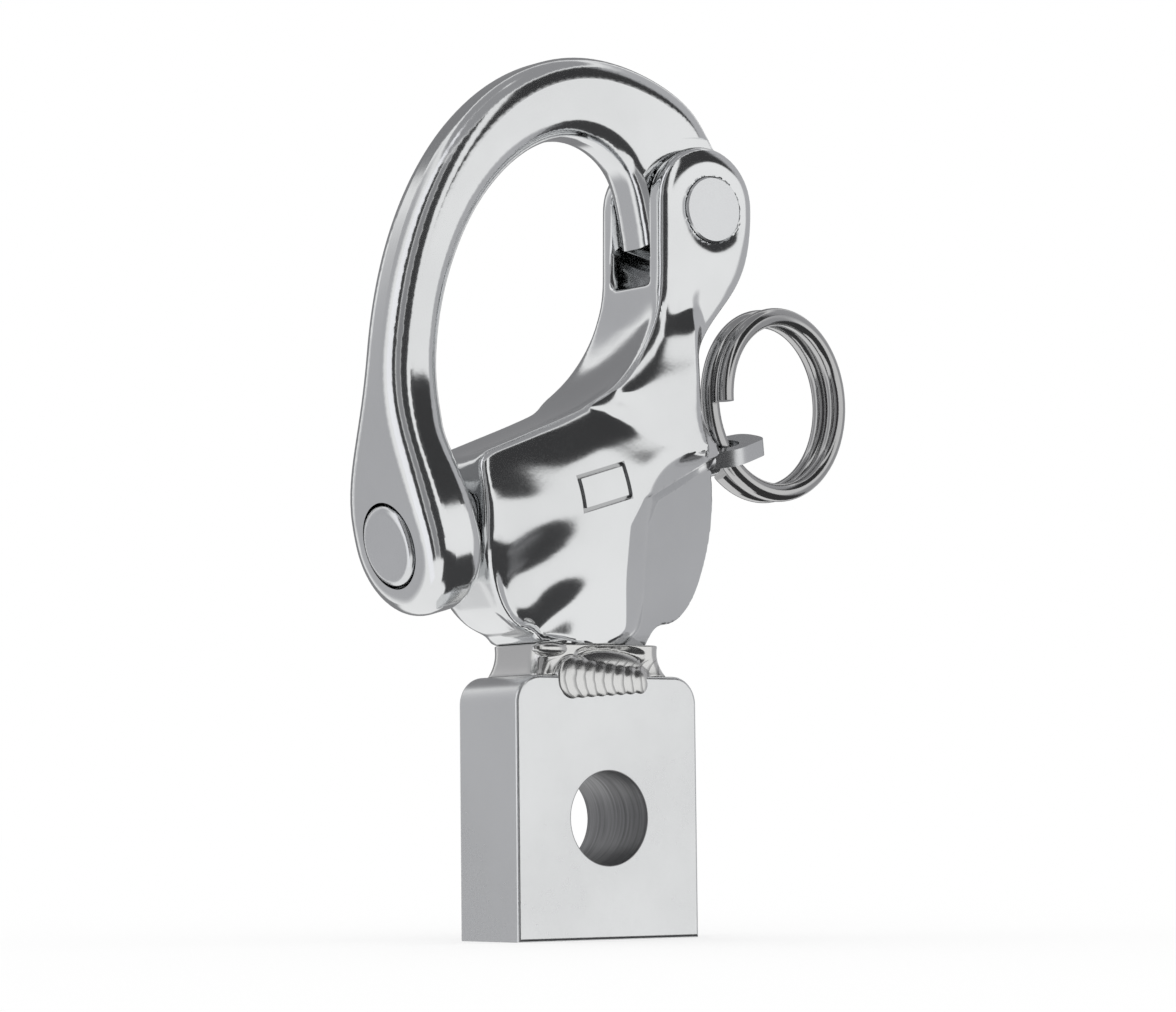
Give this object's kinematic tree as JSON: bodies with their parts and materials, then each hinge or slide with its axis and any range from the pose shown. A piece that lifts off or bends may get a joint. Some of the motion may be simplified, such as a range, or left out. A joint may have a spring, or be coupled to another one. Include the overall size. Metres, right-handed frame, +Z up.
{
  "type": "furler shackle",
  "caption": "Swing-bail snap shackle with a spring plunger and pull ring, welded to a rectangular block with a cross bore for a clevis pin.",
  "frame": {"origin": "centre of the clevis bore, midway between the block's front and back faces", "axes": "+Y along the clevis bore towards the back face, +Z up from the block through the shackle, +X towards the pull ring"},
  "size_m": [0.0658, 0.0164, 0.0964],
  "materials": {
    "forged_steel": "polished stainless steel, electropolished forging",
    "block_steel": "satin stainless flat bar",
    "weld_metal": "cleaned weld with ripples and faint heat tint",
    "pin_steel": "ground stainless pin",
    "plunger_steel": "turned stainless pin with flattened tab",
    "spring_steel": "stainless spring wire",
    "ring_steel": "bright stainless wire"
  },
  "bodies": {
    "fixed": {"mounting_block": "block_steel", "weld_bead": "weld_metal", "shackle_body": "forged_steel", "bail_pin": "pin_steel", "plunger_spring": "spring_steel"},
    "bail": {"bail": "forged_steel"},
    "plunger": {"plunger": "plunger_steel"},
    "split_ring": {"split_ring": "ring_steel"}
  },
  "joints": [
    {"name": "bail_hinge", "type": "hinge", "parent": "fixed", "child": "bail", "pos_m": [0.0149, 0, 0.0671], "axis": [0, 1, 0], "range_deg": [0, 110]},
    {"name": "plunger_slide", "type": "slide", "parent": "fixed", "child": "plunger", "axis": [0.9659, 0, 0.2588], "range_m": [0, 0.0072], "stiffness_N_per_m": 800, "springref_m": -0.004, "deforming": ["plunger_spring"]},
    {"name": "ring_swing", "type": "hinge", "parent": "plunger", "child": "split_ring", "pos_m": [0.02052, 0, 0.04084], "axis": [-0.2527, -0.2164, 0.943], "range_deg": [-60, 45]}
  ]
}
